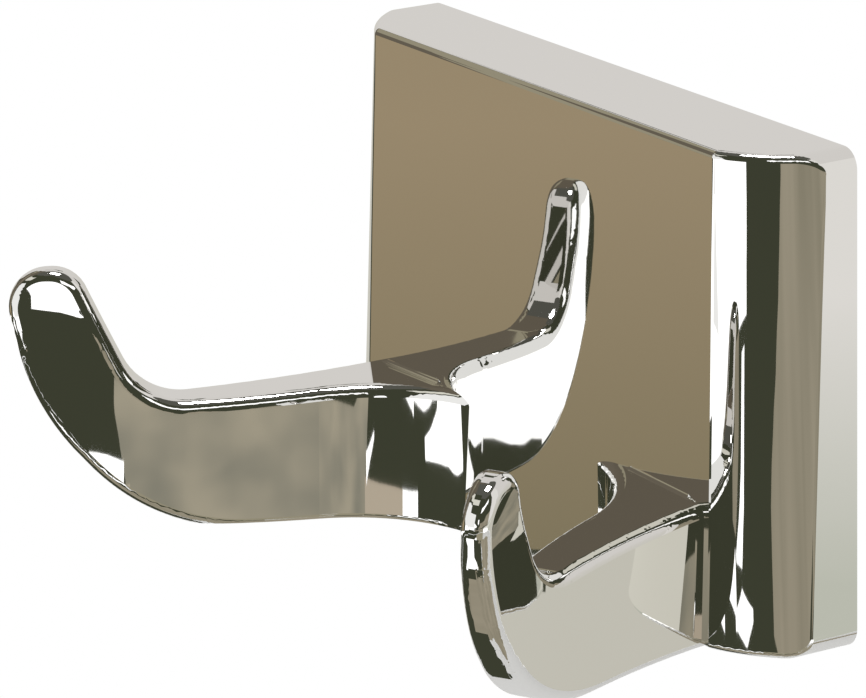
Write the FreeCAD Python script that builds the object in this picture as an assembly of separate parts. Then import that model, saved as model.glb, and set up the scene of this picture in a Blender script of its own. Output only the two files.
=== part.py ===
import FreeCAD, Part
import math
import os

from FreeCAD import Vector

# Double robe hook: a cast back plate with two splayed arms, hung on a hidden wall bracket.
# Millimetres. The wall is the plane y = 0, the plate stands out towards -y and +z is up.
# The origin is the middle of the plate's back.

# Back plate: a flat face, a bowed slope on each side of it, and a thin rim on the wall
PLATE_HEIGHT = 41.3
FACE_WIDTH_TOP = 48.4
FACE_WIDTH_BOTTOM = 49.9
SLOPE_RUN_TOP = 6.0
SLOPE_RUN_BOTTOM = 6.75
RIM_DEPTH_TOP = 3.0
RIM_DEPTH_BOTTOM = 4.6
FACE_RISE_TOP = 6.6
FACE_RISE_BOTTOM = 5.4
SLOPE_RADIUS = 12.4
CORNER_RADIUS = 1.7
PLATE_EDGE_ROUND = 0.6

# Hollow back of the plate
FRONT_WALL = 3.2
TOP_WALL = 4.5
BOTTOM_WALL = 6.5
POCKET_INSET = 0.6
POCKET_CORNER = 2.0

# Arms in plan: the inner side bows about a chord that leaves the face at the splay angle
ARM_SPLAY = 29.5
ARM_LENGTH = 36.0
ARM_ROOT_SPAN = 7.75
ROOT_WIDTH = 7.4
TIP_WIDTH = 2.1
INNER_BOW = 2.65
OUTER_BOW = 2.35
FLARE_RADIUS = 13.5
FLARE_DIP = 0.3

# Arms from the side: distance back from the end of the chord, and height above the plate's foot
ARM_HEIGHT = 12.1
CROOK_SETBACK = 12.5
CROOK_HEIGHT = 10.75
CROOK_RADIUS = 5.8
TIP_SETBACK = 0.4
TIP_HEIGHT = 22.3
TIP_THICKNESS = 6.5
TIP_DROP = 0.3
TIP_INNER_RADIUS = 3.1
TIP_OUTER_RADIUS = 3.4
LEAN_HEIGHT = 15.5
LEAN_RADIUS = 30.0
HEEL_SETBACK = 3.1
HEEL_HEIGHT = 10.1
HEEL_RADIUS = 20.0
SOLE_SETBACK = 13.2
SOLE_RADIUS = 18.0
SOLE_TRIM = 0.6
ARM_EDGE_ROUND = 1.0
ROOT_FILLET = 0.4
FILLET_RUNOUT = 1.2
FILLET_SINK = 0.1

# Wall bracket: bent steel with a level lower flange and a splayed upper one
STEEL = 1.5
BEND_RADIUS = 1.0
BRACKET_WIDTH = 40.0
BRACKET_HEIGHT = 16.0
FLANGE_GAP = 0.9
FLANGE_SPLAY = 22.0
SCREW_SPACING = 28.0
SCREW_HOLE_RADIUS = 2.3

# Lip in the hollow that hangs on the upper flange
LIP_WIDTH = 30.0
LIP_SETBACK = 0.8

# Grub screw through the underside
GRUB_RADIUS = 2.0
GRUB_RECESS = 3.15
GRUB_CLEARANCE = 0.05
GRUB_POINT_RADIUS = 1.3
GRUB_POINT_LENGTH = 0.8
SOCKET_ACROSS_FLATS = 2.0
SOCKET_DEPTH = 2.5

# How far cutting bodies run past what they cut, and how close counts as the same
OVER = 1.0
SAME = 1e-6

FOOT = -PLATE_HEIGHT / 2
HEAD = PLATE_HEIGHT / 2
DEPTH_TOP = RIM_DEPTH_TOP + FACE_RISE_TOP
DEPTH_BOTTOM = RIM_DEPTH_BOTTOM + FACE_RISE_BOTTOM
POCKET_DEPTH = min(DEPTH_TOP, DEPTH_BOTTOM) - FRONT_WALL
FLANGE_DEPTH = POCKET_DEPTH - FLANGE_GAP
CENTRE = Vector(0, 0, 0)
RIGHT = Vector(1, 0, 0)
UP = Vector(0, 0, 1)


def line(a, b):
    return Part.LineSegment(a, b).toShape()


def arc(a, middle, b):
    return Part.Arc(a, middle, b).toShape()


def arc_about(centre, a, b):
    """Shorter arc from a to b about a centre."""
    way = (a - centre).normalize() + (b - centre).normalize()
    return arc(a, centre + way.normalize() * (a - centre).Length, b)


def wire_of(edges):
    return Part.Wire(Part.__sortEdges__(edges))


def rounded_face(corners):
    """Flat face whose outline runs through (point, radius) corners, each rounded by an arc."""
    starts = []
    ends = []
    edges = []
    for i, (point, radius) in enumerate(corners):
        back = (corners[i - 1][0] - point).normalize()
        ahead = (corners[(i + 1) % len(corners)][0] - point).normalize()
        half = back.getAngle(ahead) / 2
        start = point + back * (radius / math.tan(half))
        end = point + ahead * (radius / math.tan(half))
        if radius > 0:
            middle = point + (back + ahead).normalize() * (radius / math.sin(half) - radius)
            edges.append(arc(start, middle, end))
        starts.append(start)
        ends.append(end)
    for i, end in enumerate(ends):
        edges.append(line(end, starts[(i + 1) % len(corners)]))
    return Part.Face(wire_of(edges))


def is_parallel(a, b):
    return a.cross(b).Length < SAME


def bow_radius(chord, bow):
    """Radius of an arc that stands off the middle of its chord by bow."""
    return (chord * chord / 4 + bow * bow) / (2 * bow)


def at_height(bottom, top, z):
    """Value at height z of a size that runs evenly from the plate's foot to its head."""
    return bottom + (top - bottom) * (z - FOOT) / PLATE_HEIGHT


def face_y(z):
    return -at_height(DEPTH_BOTTOM, DEPTH_TOP, z)


# Back plate


def slope_centre(z):
    """Centre of the right slope's arc, which runs from the face to the rim, at a height z."""
    half_face = at_height(FACE_WIDTH_BOTTOM, FACE_WIDTH_TOP, z) / 2
    run = at_height(SLOPE_RUN_BOTTOM, SLOPE_RUN_TOP, z)
    rim = at_height(RIM_DEPTH_BOTTOM, RIM_DEPTH_TOP, z)
    face_edge = Vector(half_face, face_y(z), z)
    rim_edge = Vector(half_face + run, -rim, z)
    chord = rim_edge - face_edge
    inward = Vector(-chord.y, chord.x, 0).normalize()
    depth = math.sqrt(SLOPE_RADIUS ** 2 - chord.Length ** 2 / 4)
    return (face_edge + rim_edge) * 0.5 + inward * depth


def slope_waste():
    """What the right slope leaves outside, carried on past the head and the foot."""
    foot = slope_centre(FOOT)
    lean = slope_centre(HEAD) - foot
    start = foot - lean * (OVER / PLATE_HEIGHT)
    length = lean.Length * (1 + 2 * OVER / PLATE_HEIGHT)
    inside = Part.makeCylinder(SLOPE_RADIUS, length, start, lean)
    reach = 2 * SLOPE_RADIUS
    corner = Vector(max(foot.x, foot.x + lean.x), OVER - reach, start.z)
    return Part.makeBox(reach, reach, PLATE_HEIGHT + 2 * OVER, corner).cut(inside)


def front_edges(plate):
    """Edges of the face and the slopes along the head and the foot of the plate."""
    picked = []
    for edge in plate.Edges:
        points = [vertex.Point for vertex in edge.Vertexes]
        level = all(abs(abs(point.z) - HEAD) < SAME for point in points)
        if level and all(point.y < -SAME for point in points):
            picked.append(edge)
    return picked


def make_plate():
    """Back plate, still solid."""
    half_bottom = FACE_WIDTH_BOTTOM / 2 + SLOPE_RUN_BOTTOM
    half_top = FACE_WIDTH_TOP / 2 + SLOPE_RUN_TOP
    corners = [(-half_bottom, FOOT), (half_bottom, FOOT), (half_top, HEAD), (-half_top, HEAD)]
    outline = rounded_face([(Vector(x, 0, z), CORNER_RADIUS) for x, z in corners])
    block = outline.extrude(Vector(0, -max(DEPTH_TOP, DEPTH_BOTTOM) - OVER, 0))
    left = -max(half_bottom, half_top) - OVER
    low = FOOT - OVER
    high = HEAD + OVER
    side = Part.makePolygon([
        Vector(left, OVER, low),
        Vector(left, face_y(low), low),
        Vector(left, face_y(high), high),
        Vector(left, OVER, high),
        Vector(left, OVER, low),
    ])
    front = Part.Face(side).extrude(Vector(-2 * left, 0, 0))
    waste = slope_waste()
    plate = block.common(front).cut(waste).cut(waste.mirror(CENTRE, RIGHT)).Solids[0]
    return plate.makeFillet(PLATE_EDGE_ROUND, front_edges(plate))


# Arms


ALONG = Vector(math.sin(math.radians(ARM_SPLAY)), -math.cos(math.radians(ARM_SPLAY)), 0)
ACROSS = Vector(math.cos(math.radians(ARM_SPLAY)), math.sin(math.radians(ARM_SPLAY)), 0)
ROOT = Vector(FACE_WIDTH_BOTTOM / 2 - ARM_ROOT_SPAN, -DEPTH_BOTTOM, FOOT)
SUNK = -DEPTH_BOTTOM + FRONT_WALL / 2
INNER_RADIUS = bow_radius(ARM_LENGTH, INNER_BOW)
CROOK_REACH = ARM_LENGTH - CROOK_SETBACK
TIP_REACH = ARM_LENGTH - TIP_SETBACK
HEEL_REACH = ARM_LENGTH - HEEL_SETBACK
SOLE_REACH = ARM_LENGTH - SOLE_SETBACK
FLARE_Y = -DEPTH_BOTTOM - FLARE_RADIUS + FLARE_DIP


def arm_point(reach, offset, height):
    """Point of the right arm, from its reach along the chord, its offset outwards and its height."""
    return ROOT + ALONG * reach + ACROSS * offset + Vector(0, 0, height)


def arm_top(x, y):
    """Height of the arm's level top over a point in plan."""
    reach = (Vector(x, y, FOOT) - ROOT).dot(ALONG)
    return FOOT + ARM_HEIGHT + (CROOK_HEIGHT - ARM_HEIGHT) * reach / CROOK_REACH


def inner_centre():
    return arm_point(ARM_LENGTH / 2, INNER_RADIUS - INNER_BOW, 0)


def flare_centre():
    """Centre of the arc that carries the arm's inner side into the face."""
    rise = FLARE_Y - inner_centre().y
    run = math.sqrt((INNER_RADIUS + FLARE_RADIUS) ** 2 - rise ** 2)
    return Vector(inner_centre().x - run, FLARE_Y, FOOT)


def outer_centre():
    start = arm_point(0, ROOT_WIDTH, 0)
    chord = arm_point(ARM_LENGTH, TIP_WIDTH, 0) - start
    outward = Vector(-chord.y, chord.x, 0).normalize()
    return start + chord * 0.5 + outward * (bow_radius(chord.Length, OUTER_BOW) - OUTER_BOW)


def outer_radius():
    return (arm_point(0, ROOT_WIDTH, 0) - outer_centre()).Length


def outer_side_x(y):
    """Where the arm's outer side stands at a distance y from the wall."""
    return outer_centre().x - math.sqrt(outer_radius() ** 2 - (y - outer_centre().y) ** 2)


def lean_points(centre, radius):
    """Points of the upright arc by which a side of the tip leans outwards, on its round about a centre."""
    points = []
    rise = TIP_HEIGHT + OVER - LEAN_HEIGHT
    for height in (0, rise / 2, rise):
        inset = LEAN_RADIUS - math.sqrt(LEAN_RADIUS ** 2 - height ** 2)
        points.append(centre + ACROSS * (radius - inset) + UP * (LEAN_HEIGHT + height))
    return points


def inner_waste():
    """Ring that the leaning tip leaves on its inner side."""
    foot, middle, head = lean_points(inner_centre(), INNER_RADIUS)
    beyond = foot + ACROSS * OVER
    above = Vector(beyond.x, beyond.y, head.z)
    section = wire_of([arc(foot, middle, head), line(head, above), line(above, beyond), line(beyond, foot)])
    return Part.Face(section).revolve(inner_centre(), UP, 360)


def outer_waste():
    """Round core that the arm leaves on its outer side, from below the sole to above the tip."""
    foot, middle, head = lean_points(outer_centre(), outer_radius())
    low = outer_centre() - UP * (SOLE_TRIM + 2 * OVER)
    start = Vector(foot.x, foot.y, low.z)
    top = Vector(low.x, low.y, head.z)
    section = wire_of([
        line(low, start), line(start, foot), arc(foot, middle, head), line(head, top), line(top, low)
    ])
    return Part.Face(section).revolve(outer_centre(), UP, 360)


def arm_plan():
    """Plan of the right arm, from inside the plate to past its tip, with stock on its outer side."""
    to_flare = (flare_centre() - inner_centre()).normalize()
    flare_end = inner_centre() + to_flare * INNER_RADIUS
    flare_foot = flare_centre() + Vector(0, FLARE_RADIUS, 0)
    inner_foot = Vector(flare_foot.x, SUNK, FOOT)
    outer_foot = Vector(outer_side_x(SUNK) + 2 * OVER, SUNK, FOOT)
    inner_tip = arm_point(ARM_LENGTH, 0, 0)
    outer_tip = arm_point(ARM_LENGTH, TIP_WIDTH + 2 * OVER, 0)
    return Part.Face(wire_of([
        line(inner_foot, flare_foot),
        arc_about(flare_centre(), flare_foot, flare_end),
        arc_about(inner_centre(), flare_end, inner_tip),
        line(inner_tip, outer_tip),
        line(outer_tip, outer_foot),
        line(outer_foot, inner_foot),
    ]))


def arm_profile():
    """Side outline of the arm: its top, the crook, the upturned tip, the heel and the sole."""
    start = -ARM_LENGTH / 2
    start_height = ARM_HEIGHT + (CROOK_HEIGHT - ARM_HEIGHT) * start / CROOK_REACH
    corners = [
        (start, start_height, 0),
        (CROOK_REACH, CROOK_HEIGHT, CROOK_RADIUS),
        (TIP_REACH - TIP_THICKNESS, TIP_HEIGHT, TIP_INNER_RADIUS),
        (TIP_REACH, TIP_HEIGHT - TIP_DROP, TIP_OUTER_RADIUS),
        (HEEL_REACH, HEEL_HEIGHT, HEEL_RADIUS),
        (SOLE_REACH, -SOLE_TRIM, SOLE_RADIUS),
        (start, -SOLE_TRIM, 0),
    ]
    outline = []
    for reach, height, radius in corners:
        outline.append((arm_point(reach, -ARM_LENGTH, height), radius))
    return rounded_face(outline)


def is_side(face):
    """Whether a face of the arm turns about an upright axis."""
    rounds = ("Part::GeomCylinder", "Part::GeomToroid")
    return face.Surface.TypeId in rounds and is_parallel(face.Surface.Axis, UP)


def long_edges(arm):
    """Edges along both sides of the arm, from the root round the tip and back."""
    sides = [face for face in arm.Faces if is_side(face)]
    picked = []
    for face in sides:
        others = [edge for side in sides if not side.isSame(face) for edge in side.Edges]
        for edge in face.Edges:
            shared = any(edge.isSame(other) for other in others)
            if not shared and not is_parallel(edge.tangentAt(edge.FirstParameter), UP):
                picked.append(edge)
    return picked


def root_fillet():
    """Small cove between the arm's top and the face, sunk into the metal at both ends."""
    dip = FLARE_DIP + ARM_EDGE_ROUND
    start = flare_centre().x + math.sqrt(FLARE_RADIUS ** 2 - (FLARE_RADIUS - dip) ** 2)
    end = outer_side_x(-DEPTH_BOTTOM) - ARM_EDGE_ROUND
    stations = [
        (start, FILLET_SINK),
        (start + FILLET_RUNOUT, 0),
        (end - FILLET_RUNOUT, 0),
        (end, FILLET_SINK),
    ]
    sections = []
    for x, sink in stations:
        crease = arm_top(x, -DEPTH_BOTTOM) - sink
        wall = face_y(crease + ROOT_FILLET) + sink
        radius = ROOT_FILLET - sink
        inset = radius - radius * math.sin(math.radians(45))
        on_face = Vector(x, wall, crease + radius)
        on_arm = Vector(x, wall - radius, arm_top(x, wall - radius) - sink)
        middle = Vector(x, wall - inset, crease + inset)
        inside = Vector(x, wall + ROOT_FILLET, crease + radius)
        below = Vector(x, wall - radius, crease - ROOT_FILLET)
        corner = Vector(x, wall + ROOT_FILLET, crease - ROOT_FILLET)
        sections.append(Part.Wire([
            arc(on_face, middle, on_arm),
            line(on_arm, below),
            line(below, corner),
            line(corner, inside),
            line(inside, on_face),
        ]))
    return Part.makeLoft(sections, True, True)


def make_arm():
    """Right arm with rounded edges, its sole trimmed level with the plate's foot."""
    plan_body = arm_plan().extrude(Vector(0, 0, TIP_HEIGHT + SOLE_TRIM + 2 * OVER))
    plan_body.translate(Vector(0, 0, -SOLE_TRIM - OVER))
    sides = plan_body.cut(inner_waste()).cut(outer_waste())
    profile_body = arm_profile().extrude(ACROSS * (2 * ARM_LENGTH))
    arm = sides.common(profile_body).Solids[0]
    arm = arm.makeFillet(ARM_EDGE_ROUND, long_edges(arm))
    reach = 2 * (ARM_LENGTH + PLATE_HEIGHT)
    below = Part.makeBox(reach, reach, reach, Vector(-reach / 2, -reach / 2, FOOT - reach))
    return arm.cut(below).Solids[0]


# Wall bracket


def upper_flange_z(y):
    """Height of the upper flange's outer side at a depth y."""
    return BRACKET_HEIGHT / 2 - y * math.tan(math.radians(FLANGE_SPLAY))


def make_bracket():
    """Bent steel bracket with two screw holes."""
    half = BRACKET_HEIGHT / 2
    slant = STEEL / math.cos(math.radians(FLANGE_SPLAY))
    outer_bend = BEND_RADIUS + STEEL
    end = -FLANGE_DEPTH
    corners = [
        (0, -half, outer_bend),
        (end, -half, 0),
        (end, -half + STEEL, 0),
        (-STEEL, -half + STEEL, BEND_RADIUS),
        (-STEEL, upper_flange_z(-STEEL) - slant, BEND_RADIUS),
        (end, upper_flange_z(end) - slant, 0),
        (end, upper_flange_z(end), 0),
        (0, half, outer_bend),
    ]
    left = -BRACKET_WIDTH / 2
    bracket = rounded_face([(Vector(left, y, z), radius) for y, z, radius in corners])
    bracket = bracket.extrude(Vector(BRACKET_WIDTH, 0, 0))
    for side in (-1, 1):
        start = Vector(side * SCREW_SPACING / 2, OVER, 0)
        hole = Part.makeCylinder(SCREW_HOLE_RADIUS, STEEL + 2 * OVER, start, Vector(0, -1, 0))
        bracket = bracket.cut(hole)
    return bracket


# Grub screw


GRUB_Y = -FLANGE_DEPTH / 2 - STEEL / 2
GRUB_TOP = -BRACKET_HEIGHT / 2
GRUB_LENGTH = GRUB_TOP - FOOT - GRUB_RECESS


def make_grub_screw():
    """Grub screw with a flat point and a hexagon socket, its point on the lower flange."""
    shank_top = GRUB_TOP - GRUB_POINT_LENGTH
    shank_length = GRUB_LENGTH - GRUB_POINT_LENGTH
    shank_foot = Vector(0, GRUB_Y, shank_top - shank_length)
    shank = Part.makeCylinder(GRUB_RADIUS, shank_length, shank_foot)
    point_foot = Vector(0, GRUB_Y, shank_top)
    point = Part.makeCone(GRUB_RADIUS, GRUB_POINT_RADIUS, GRUB_POINT_LENGTH, point_foot)
    corner = SOCKET_ACROSS_FLATS / math.sqrt(3)
    ring = []
    for i in range(7):
        turn = math.radians(60 * i)
        ring.append(shank_foot + Vector(corner * math.cos(turn), corner * math.sin(turn), 0))
    socket = Part.Face(Part.makePolygon(ring)).extrude(Vector(0, 0, SOCKET_DEPTH))
    return shank.fuse(point).removeSplitter().cut(socket)


# Cast body


def make_pocket():
    """Hollow in the plate's back, with the lip left standing at its head."""
    half = min(FACE_WIDTH_TOP, FACE_WIDTH_BOTTOM) / 2 - POCKET_INSET
    low = FOOT + BOTTOM_WALL
    high = HEAD - TOP_WALL
    corners = [(-half, low), (half, low), (half, high), (-half, high)]
    pocket = rounded_face([(Vector(x, OVER, z), POCKET_CORNER) for x, z in corners])
    pocket = pocket.extrude(Vector(0, -POCKET_DEPTH - OVER, 0))
    front = -FLANGE_DEPTH
    left = -LIP_WIDTH / 2
    lip_corners = [
        Vector(left, -LIP_SETBACK, upper_flange_z(-LIP_SETBACK)),
        Vector(left, front, upper_flange_z(front)),
        Vector(left, front, HEAD),
        Vector(left, -LIP_SETBACK, HEAD),
    ]
    lip = Part.Face(Part.makePolygon(lip_corners + lip_corners[:1])).extrude(Vector(LIP_WIDTH, 0, 0))
    return pocket.cut(lip)


def make_body():
    """Plate and arms as one casting: its right half, then the mirror image of that."""
    size = 2 * PLATE_HEIGHT
    right_side = Part.makeBox(size, size, size, Vector(0, -size / 2, -size / 2))
    half = make_plate().common(right_side).fuse(make_arm()).fuse(root_fillet())
    body = half.fuse(half.mirror(CENTRE, RIGHT)).removeSplitter()
    body = body.cut(make_pocket())
    hole_foot = Vector(0, GRUB_Y, FOOT - OVER)
    hole = Part.makeCylinder(GRUB_RADIUS + GRUB_CLEARANCE, BOTTOM_WALL + 2 * OVER, hole_foot)
    return body.cut(hole).Solids[0]


os.makedirs("parts", exist_ok=True)
pieces = {
    "hook_body": make_body(),
    "wall_bracket": make_bracket(),
    "set_screw": make_grub_screw(),
}
for name, shape in pieces.items():
    shape.exportStep(f"parts/{name}.step")
    print(name, shape.isValid(), len(shape.Solids), round(shape.Volume, 1))
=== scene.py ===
import math

import bpy
from mathutils import Matrix, Vector

# Double robe hook: polished chrome on a hidden steel bracket, in a white studio.
# Metres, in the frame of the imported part: the wall is y = 0, the arms stand out towards -y, +z is up.
# Azimuths are measured round the hook from straight in front of it, positive towards +x.
# Elevations are measured up from level. Both are in degrees.
# The bands in the chrome are mirrored cards, set where the camera's rays go after they meet the hook.

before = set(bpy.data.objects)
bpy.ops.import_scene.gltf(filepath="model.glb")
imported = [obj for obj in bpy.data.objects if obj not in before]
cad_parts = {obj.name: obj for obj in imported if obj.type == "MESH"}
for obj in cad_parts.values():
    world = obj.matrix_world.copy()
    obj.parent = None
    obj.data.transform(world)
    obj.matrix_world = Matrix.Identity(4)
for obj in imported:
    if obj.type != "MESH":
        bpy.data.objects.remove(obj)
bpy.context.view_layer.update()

# Camera settings, for the photograph's viewing angle
IMAGE_WIDTH = 866
FOCAL_PIXELS = 5619.0
SENSOR_WIDTH = 36.0
CLIP_START = 0.01
VIEW_AZIMUTH = 56.21
VIEW_ELEVATION = 17.16
VIEW_DISTANCE = 0.4772
AIM = Vector((-0.0131, -0.0111, -0.0049))

# Metals, with the roughness of their brightest and dullest spots
CHROME_COLOUR = (0.86, 0.855, 0.84)
CHROME_ROUGHNESS = (0.006, 0.02)
CHROME_HAZE_SCALE = 220.0
CHROME_HAZE_DETAIL = 4.0
CHROME_RIPPLE_SCALE = 90.0
CHROME_RIPPLE_DETAIL = 2.0
CHROME_RIPPLE_DEPTH = 0.000008
BRACKET_COLOUR = (0.6, 0.61, 0.62)
BRACKET_ROUGHNESS = (0.28, 0.4)
SCREW_COLOUR = (0.3, 0.3, 0.31)
SCREW_ROUGHNESS = (0.3, 0.45)
STEEL_GRAIN_SCALE = 900.0
STEEL_GRAIN_DETAIL = 6.0
STEEL_GRAIN_DEPTH = 0.0002
STEEL_GRAIN_STRENGTH = 0.2

# Floor
FLOOR_HEIGHT = -0.45
FLOOR_RADIUS = 0.85
FLOOR_SIDES = 96
FLOOR_COLOURS = ((0.84, 0.84, 0.83), (0.88, 0.88, 0.87))
FLOOR_ROUGHNESS = 0.8
FLOOR_GRAIN_SCALE = 40.0
FLOOR_GRAIN_DETAIL = 3.0

# Round wall: its stretches meet at azimuths, and its foot and head are elevations
WALL_RADIUS = 0.9
WALL_FOOT = -27.4
WALL_HEAD = 60.0
DARK_LEFT = -100
SHADE_LEFT = 112
PALE_LEFT = 142
FULL_TURN = 360
CEILING_STEP = 5

# Cards before the wall, some of them in front of others, and mats just above the floor
CARD_RADIUS = 0.86
FRONT_RADIUS = 0.85
CARD_STEP = 3.0
MAT_LIFT = 0.002
MAT_HEIGHT = FLOOR_HEIGHT + MAT_LIFT

# Mottled papers
MOTTLE_DETAIL = 2.0
MOTTLE_CONTRAST = (-0.75, 1.75)

# Borders that cards share on the left: azimuths of both ends and the elevation of the sill
LEFT_START = -97
LEFT_END = -46
LEFT_SILL = -9

# Borders that mats share: two azimuths, then elevations from the rim inwards
MAT_START = -36
SAND_START = 30
MAT_RIM = -28
HEEL_BORDER = -36
LINE_OUTSIDE = -40.3
LINE_INSIDE = -44.5
MAT_CORE = -76

# World's fill light on matt surfaces
FILL_STRENGTH = 0.6


def outward(azimuth, elevation):
    """Direction from the hook at an azimuth and an elevation."""
    a = math.radians(azimuth)
    e = math.radians(elevation)
    return Vector((math.sin(a) * math.cos(e), -math.cos(a) * math.cos(e), math.sin(e)))


def link(obj):
    """The object, put into the scene."""
    bpy.context.scene.collection.objects.link(obj)
    return obj


def make_camera():
    """Camera that looks at the hook from the photograph's viewing angle."""
    back = outward(VIEW_AZIMUTH, VIEW_ELEVATION)
    right = Vector((0, 0, 1)).cross(back).normalized()
    up = back.cross(right)
    eye = AIM + back * VIEW_DISTANCE
    data = bpy.data.cameras.new("camera")
    data.sensor_fit = "HORIZONTAL"
    data.sensor_width = SENSOR_WIDTH
    data.lens = FOCAL_PIXELS / IMAGE_WIDTH * SENSOR_WIDTH
    data.clip_start = CLIP_START
    camera = link(bpy.data.objects.new("camera", data))
    camera.matrix_world = Matrix((
        (right.x, up.x, back.x, eye.x),
        (right.y, up.y, back.y, eye.y),
        (right.z, up.z, back.z, eye.z),
        (0, 0, 0, 1),
    ))
    bpy.context.scene.camera = camera


# Nodes that materials share


def new_material(name):
    """New material, with its nodes and links."""
    material = bpy.data.materials.new(name)
    material.use_nodes = True
    return material, material.node_tree.nodes, material.node_tree.links


def noise(nodes, links, scale, detail, flatness=1.0):
    """Noise in object space, so its grain has a real size; flatness squeezes it in height."""
    place = nodes.new("ShaderNodeTexCoord")
    squeeze = nodes.new("ShaderNodeMapping")
    squeeze.inputs["Scale"].default_value = (1, 1, flatness)
    texture = nodes.new("ShaderNodeTexNoise")
    texture.inputs["Scale"].default_value = scale
    texture.inputs["Detail"].default_value = detail
    links.new(place.outputs["Object"], squeeze.inputs["Vector"])
    links.new(squeeze.outputs["Vector"], texture.inputs["Vector"])
    return texture.outputs["Fac"]


def spread(nodes, links, value, low, high):
    """The value carried from 0..1 to low..high."""
    span = nodes.new("ShaderNodeMapRange")
    span.inputs["To Min"].default_value = low
    span.inputs["To Max"].default_value = high
    links.new(value, span.inputs["Value"])
    return span.outputs["Result"]


def bump(nodes, links, height, distance, strength=1.0):
    """Normal of a surface that a height from 0 to 1 raises by a distance."""
    bumped = nodes.new("ShaderNodeBump")
    bumped.inputs["Distance"].default_value = distance
    bumped.inputs["Strength"].default_value = strength
    links.new(height, bumped.inputs["Height"])
    return bumped.outputs["Normal"]


def blend(nodes, links, factor, colour, other):
    """Colour that turns into the other one as the factor goes from 0 to 1."""
    mix = nodes.new("ShaderNodeMix")
    mix.data_type = "RGBA"
    mix.inputs["A"].default_value = (*colour, 1)
    mix.inputs["B"].default_value = (*other, 1)
    links.new(factor, mix.inputs["Factor"])
    return mix.outputs["Result"]


# Metals


def make_chrome():
    """Mirror chrome with the faint ripple of a polished casting."""
    material, nodes, links = new_material("chrome")
    shader = nodes["Principled BSDF"]
    shader.inputs["Base Color"].default_value = (*CHROME_COLOUR, 1)
    shader.inputs["Metallic"].default_value = 1.0
    haze = noise(nodes, links, CHROME_HAZE_SCALE, CHROME_HAZE_DETAIL)
    ripple = noise(nodes, links, CHROME_RIPPLE_SCALE, CHROME_RIPPLE_DETAIL)
    links.new(spread(nodes, links, haze, *CHROME_ROUGHNESS), shader.inputs["Roughness"])
    links.new(bump(nodes, links, ripple, CHROME_RIPPLE_DEPTH), shader.inputs["Normal"])
    return material


def make_steel(name, colour, roughness):
    """Plated steel with a fine matt grain."""
    material, nodes, links = new_material(name)
    shader = nodes["Principled BSDF"]
    shader.inputs["Base Color"].default_value = (*colour, 1)
    shader.inputs["Metallic"].default_value = 1.0
    grain = noise(nodes, links, STEEL_GRAIN_SCALE, STEEL_GRAIN_DETAIL)
    bumped = bump(nodes, links, grain, STEEL_GRAIN_DEPTH, STEEL_GRAIN_STRENGTH)
    links.new(spread(nodes, links, grain, *roughness), shader.inputs["Roughness"])
    links.new(bumped, shader.inputs["Normal"])
    return material


# Papers of the wall, the ceiling, the cards and the mats


def make_paper(name, colour):
    """Paper that glows in one colour."""
    material, nodes, links = new_material(name)
    nodes.remove(nodes["Principled BSDF"])
    glow = nodes.new("ShaderNodeEmission")
    glow.inputs["Color"].default_value = (*colour, 1)
    links.new(glow.outputs["Emission"], nodes["Material Output"].inputs["Surface"])
    return material


def make_shaded_paper(name, low_colour, high_colour, low, high):
    """Paper that glows in a colour running from low_colour to high_colour between two heights: painted
    shading by height.
    """
    material = make_paper(name, high_colour)
    nodes = material.node_tree.nodes
    links = material.node_tree.links
    place = nodes.new("ShaderNodeNewGeometry")
    split = nodes.new("ShaderNodeSeparateXYZ")
    span = nodes.new("ShaderNodeMapRange")
    span.inputs["From Min"].default_value = low
    span.inputs["From Max"].default_value = high
    links.new(place.outputs["Position"], split.inputs["Vector"])
    links.new(split.outputs["Z"], span.inputs["Value"])
    colour = blend(nodes, links, span.outputs["Result"], low_colour, high_colour)
    links.new(colour, nodes["Emission"].inputs["Color"])
    return material


def make_mottled_paper(name, colour, other, scale, flatness):
    """Paper that glows in two colours that run into each other in soft patches."""
    material = make_paper(name, colour)
    nodes = material.node_tree.nodes
    links = material.node_tree.links
    grain = noise(nodes, links, scale, MOTTLE_DETAIL, flatness)
    patches = spread(nodes, links, grain, *MOTTLE_CONTRAST)
    mottled = blend(nodes, links, patches, colour, other)
    links.new(mottled, nodes["Emission"].inputs["Color"])
    return material


# Stage and light


def stage_sheet(name, points, faces, material):
    """Sheet that shows only in metal: hidden from the camera and from matt surfaces, without a shadow."""
    mesh = bpy.data.meshes.new(name)
    mesh.from_pydata(points, [], faces)
    mesh.materials.append(material)
    sheet = link(bpy.data.objects.new(name, mesh))
    sheet.visible_camera = False
    sheet.visible_shadow = False
    sheet.visible_diffuse = False


def edge_height(edge, azimuth):
    """Elevation at an azimuth along an edge through (azimuth, elevation) points."""
    for (a0, e0), (a1, e1) in zip(edge, edge[1:]):
        if azimuth <= a1:
            return e0 + (e1 - e0) * (azimuth - a0) / (a1 - a0)
    return edge[-1][1]


def stage_point(azimuth, elevation, radius):
    """Point in a direction from the hook, on a round wall or, below its foot, on the floor."""
    rise = radius * math.tan(math.radians(elevation))
    if rise > MAT_HEIGHT:
        return outward(azimuth, 0) * radius + Vector((0, 0, rise))
    reach = MAT_HEIGHT / math.tan(math.radians(elevation))
    return outward(azimuth, 0) * reach + Vector((0, 0, MAT_HEIGHT))


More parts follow.
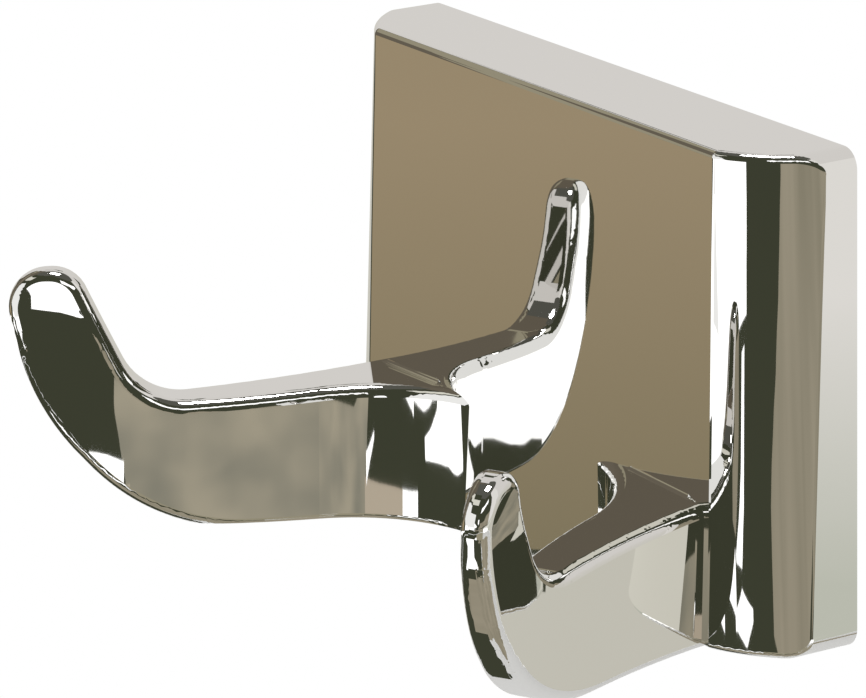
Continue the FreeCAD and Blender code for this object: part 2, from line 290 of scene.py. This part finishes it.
def make_card(name, lower, upper, material, radius=CARD_RADIUS):
    """Card or mat between two edges, each through (azimuth, elevation) points."""
    stops = sorted({azimuth for azimuth, _ in lower + upper})
    columns = []
    for a0, a1 in zip(stops, stops[1:]):
        count = max(1, round((a1 - a0) / CARD_STEP))
        columns += [a0 + (a1 - a0) * i / count for i in range(count)]
    points = []
    for azimuth in columns + stops[-1:]:
        for edge in (lower, upper):
            points.append(stage_point(azimuth, edge_height(edge, azimuth), radius))
    faces = [(i, i + 2, i + 3, i + 1) for i in range(0, len(points) - 2, 2)]
    stage_sheet(name, points, faces, material)


def make_panel(name, azimuths, elevations, material, radius=CARD_RADIUS):
    """Card or mat with level edges, between two azimuths and two elevations."""
    lower, upper = [[(azimuth, elevation) for azimuth in azimuths] for elevation in elevations]
    make_card(name, lower, upper, material, radius)


def make_ceiling(material):
    """Flat lid on the round wall."""
    height = WALL_RADIUS * math.tan(math.radians(WALL_HEAD))
    rim = [outward(azimuth, 0) * WALL_RADIUS for azimuth in range(0, FULL_TURN, CEILING_STEP)]
    points = [point + Vector((0, 0, height)) for point in rim]
    stage_sheet("ceiling", points, [tuple(range(len(points)))], material)


def make_floor():
    """Round floor of white paper with a faint grain."""
    bpy.ops.mesh.primitive_circle_add(
        vertices=FLOOR_SIDES, radius=FLOOR_RADIUS, fill_type="NGON", location=(0, 0, FLOOR_HEIGHT)
    )
    floor = bpy.context.object
    floor.name = "floor"
    material, nodes, links = new_material("floor_paper")
    shader = nodes["Principled BSDF"]
    shader.inputs["Roughness"].default_value = FLOOR_ROUGHNESS
    grain = noise(nodes, links, FLOOR_GRAIN_SCALE, FLOOR_GRAIN_DETAIL)
    links.new(blend(nodes, links, grain, *FLOOR_COLOURS), shader.inputs["Base Color"])
    floor.data.materials.append(material)


def make_world():
    """White to the camera, in mirrors and through glass, and a soft fill for the rest."""
    world = bpy.data.worlds.new("studio")
    world.use_nodes = True
    nodes = world.node_tree.nodes
    links = world.node_tree.links
    fill = nodes["Background"]
    fill.inputs["Color"].default_value = (1, 1, 1, 1)
    fill.inputs["Strength"].default_value = FILL_STRENGTH
    backdrop = nodes.new("ShaderNodeBackground")
    backdrop.inputs["Color"].default_value = (1, 1, 1, 1)
    backdrop.inputs["Strength"].default_value = 1.0
    path = nodes.new("ShaderNodeLightPath")
    shown = path.outputs["Is Camera Ray"]
    for ray in ("Is Glossy Ray", "Is Transmission Ray"):
        either = nodes.new("ShaderNodeMath")
        either.operation = "MAXIMUM"
        links.new(shown, either.inputs[0])
        links.new(path.outputs[ray], either.inputs[1])
        shown = either.outputs["Value"]
    pick = nodes.new("ShaderNodeMixShader")
    links.new(shown, pick.inputs["Fac"])
    links.new(fill.outputs["Background"], pick.inputs[1])
    links.new(backdrop.outputs["Background"], pick.inputs[2])
    links.new(pick.outputs["Shader"], nodes["World Output"].inputs["Surface"])
    bpy.context.scene.world = world


def make_lamp(name, azimuth, elevation, distance, size, power):
    """Soft square lamp that faces the hook."""
    data = bpy.data.lights.new(name, "AREA")
    data.shape = "SQUARE"
    data.size = size
    data.energy = power
    lamp = link(bpy.data.objects.new(name, data))
    lamp.location = outward(azimuth, elevation) * distance
    lamp.rotation_euler = outward(azimuth, elevation).to_track_quat("Z", "Y").to_euler()


# Finishes of the three pieces
finishes = {
    "hook_body": make_chrome(),
    "wall_bracket": make_steel("bracket_steel", BRACKET_COLOUR, BRACKET_ROUGHNESS),
    "set_screw": make_steel("screw_steel", SCREW_COLOUR, SCREW_ROUGHNESS),
}
for node, material in finishes.items():
    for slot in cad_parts[node].material_slots:
        slot.material = material

# Camera, world and floor
bpy.context.scene.view_settings.view_transform = "Standard"
make_camera()
make_world()
make_floor()

# Papers. They glow with painted light in place of lamp light, and the chrome shows them as its bands.
# Painted shade: the tan card glows darker towards its foot.
tan = make_shaded_paper("tan_paper", (0.22, 0.19, 0.115), (0.36, 0.285, 0.18), low=-0.33, high=-0.2)
sand = make_paper("sand_paper", (0.33, 0.3, 0.215))
buff = make_paper("buff_paper", (0.5, 0.43, 0.335))
umber = make_paper("umber_paper", (0.14, 0.12, 0.09))
dark = make_paper("dark_cloth", (0.05, 0.054, 0.034))
grey = make_paper("grey_cloth", (0.1, 0.1, 0.085))
brown = make_mottled_paper("brown_paper", (0.27, 0.245, 0.18), (0.37, 0.33, 0.25), scale=7.0, flatness=1.0)
streaked = make_mottled_paper(
    "streaked_paper", (0.25, 0.24, 0.19), (0.41, 0.37, 0.28), scale=5.0, flatness=9.0
)
# Painted shade: the pale wall glows darker towards its foot.
pale = make_shaded_paper("pale_paper", (0.61, 0.595, 0.525), (0.715, 0.693, 0.668), low=-0.3, high=0.2)
paler = make_paper("paler_paper", (0.76, 0.745, 0.665))
shade = make_shaded_paper("shade_paper", (0.56, 0.575, 0.5), (0.82, 0.8, 0.77), low=-0.26, high=-0.19)
# Glows brighter than white: painted light standing in for softboxes, seen as the white highlights in the
# chrome.
white = make_paper("white_paper", (1.5, 1.5, 1.5))
screen = make_paper("screen_paper", (0.95, 0.95, 0.94))

# Round wall and ceiling
make_panel("wall_dark", (DARK_LEFT, SHADE_LEFT), (WALL_FOOT, WALL_HEAD), dark, WALL_RADIUS)
make_panel("wall_shade", (SHADE_LEFT, PALE_LEFT), (WALL_FOOT, WALL_HEAD), shade, WALL_RADIUS)
make_panel("wall_pale", (PALE_LEFT, DARK_LEFT + FULL_TURN), (WALL_FOOT, WALL_HEAD), pale, WALL_RADIUS)
make_ceiling(grey)

# Cards on the left
make_panel("card_tan", (-70, LEFT_END), (-19.6, LEFT_SILL), tan)
make_panel("card_umber", (LEFT_START, LEFT_END), (LEFT_SILL, WALL_HEAD), umber)
make_card(
    "card_sand",
    [
        (LEFT_START, 32), (-85, 34.5), (-70, 29), (-62, 21.5), (-57.5, 18), (-55, 12.5), (-54, 11),
        (-53.3, -8), (LEFT_END, -8),
    ],
    [(LEFT_START, 41), (-85, 42.5), (-70, 37), (-62, 29), (-57, 20), (-53, 14), (-50, 9), (LEFT_END, 5)],
    sand,
    FRONT_RADIUS,
)
make_panel("card_low_left", (DARK_LEFT, -32), (-22.5, -19.7), white)

# Cards in front
white_head = [(-42, 26), (-30, 32), (-8, 32), (3, 22), (12, 6), (20, -2)]
make_card(
    "card_white",
    [
        (-42, -2), (-28.5, -9), (-28, -19.05), (1.5, -18.98), (2.5, -18.2), (11.3, -18.1), (11.5, -14.8),
        (18, -13.3), (24.5, -12.6), (26.5, -10.8), (27.3, -9),
    ],
    white_head + [(27.3, -8)],
    white,
)
make_card(
    "card_screen",
    [
        (-42, -1), (-28, -9.5), (-12, -9.5), (-11.9, -14.3), (4.5, -14.3), (5.5, -12.3), (8, -10.5),
        (20, -10.5),
    ],
    white_head,
    screen,
    FRONT_RADIUS,
)
make_card(
    "card_crescent",
    [(-8, -18.1), (-4, -18.35), (0, -18.55), (2.6, -18.65)],
    [(-8, -18), (-4, -18.05), (0, -18.15), (2.6, -18.2)],
    dark,
    FRONT_RADIUS,
)
make_panel("card_over_white", (-44, 0), (38, 50), paler)
make_card(
    "card_streak",
    [(12, -17.25), (16.5, -17.05), (19, -15.9), (22.3, -13.3)],
    [(12, -17.1), (14.5, -16.5), (17.3, -15.5), (20.3, -13.5), (22.3, -13.2)],
    white,
)
make_card(
    "card_patch",
    [(10.5, -18.35), (12, -18.25), (19, -18.05), (24, -17.35)],
    [(10.5, -18.1), (16, -17.35), (24, -17.15)],
    white,
    FRONT_RADIUS,
)
make_panel("card_low_white", (7.5, 19), (-20.5, -19.5), white)
make_panel("card_low_buff", (19, 46.5), (-20.6, -19.5), buff)
make_card("card_window", [(30.2, -3.5), (35, -4.3), (39.5, -6.6)], [(30.2, 6), (39.5, 6)], white)

# Cards on the right
make_card("card_line", [(42, 20), (60, 24), (92, 34)], [(42, 34), (60, 36), (92, 44)], white)
make_card(
    "card_wedge",
    [(39.6, -18.9), (45.4, -19.6)],
    [(39.6, -18.8), (45.4, -19.15)],
    white,
    FRONT_RADIUS,
)
make_card(
    "card_brown",
    [(40, -16.6), (46, -16.9), (64, -16), (83, -14), (95, -16.2), (SHADE_LEFT, -16.2)],
    [(40, -14.6), (43, -13), (48, -11), (51.5, -9), (53, -4), (83, -4), (90, 5), (SHADE_LEFT, 5)],
    brown,
)
make_card(
    "card_arm_brown",
    [(43.5, -18.2), (46, -19.6), (46.5, WALL_FOOT), (83, WALL_FOOT)],
    [(43.5, -17.8), (54, -18.5), (83, -18.5)],
    streaked,
)
make_panel("card_low_pale", (83, 146), (-20.5, -17.5), paler)
make_panel("card_low_right", (84, 122), (WALL_FOOT, -20.6), white)

# Cards behind
make_panel("card_back_dark", (175, 215), (-20.8, -17), dark)
make_card("card_high_back", [(178, 28), (200, 20), (206, 18)], [(178, 36.5), (206, 36.5)], dark)
make_card("card_high_left", [(229.5, 30.3), (252, 32.2)], [(229.5, 36.5), (240, 36.5), (252, 35)], dark)

# Mats on the floor
make_card(
    "mat_heel",
    [
        (DARK_LEFT, HEEL_BORDER), (MAT_START, HEEL_BORDER), (-35.9, LINE_OUTSIDE), (-18, LINE_OUTSIDE),
        (-17.9, HEEL_BORDER), (SAND_START, HEEL_BORDER),
    ],
    [(DARK_LEFT, MAT_RIM), (SAND_START, MAT_RIM)],
    dark,
)
make_panel("mat_white", (-17.9, 28), (LINE_OUTSIDE, HEEL_BORDER), white)
make_panel("mat_sand", (SAND_START, 84), (LINE_OUTSIDE, MAT_RIM), sand)
make_panel("mat_line", (MAT_START, 70), (LINE_INSIDE, LINE_OUTSIDE), dark)
make_card(
    "mat_brown",
    [(MAT_START, -68), (-15, MAT_CORE), (135, MAT_CORE)],
    [(MAT_START, LINE_INSIDE), (70, LINE_INSIDE), (84, -38), (110, -33), (135, -33)],
    brown,
)
make_panel("mat_left", (DARK_LEFT, MAT_START), (MAT_CORE, HEEL_BORDER), dark)

# Lamp
make_lamp("overhead", azimuth=-62, elevation=84, distance=1.05, size=0.3, power=5)
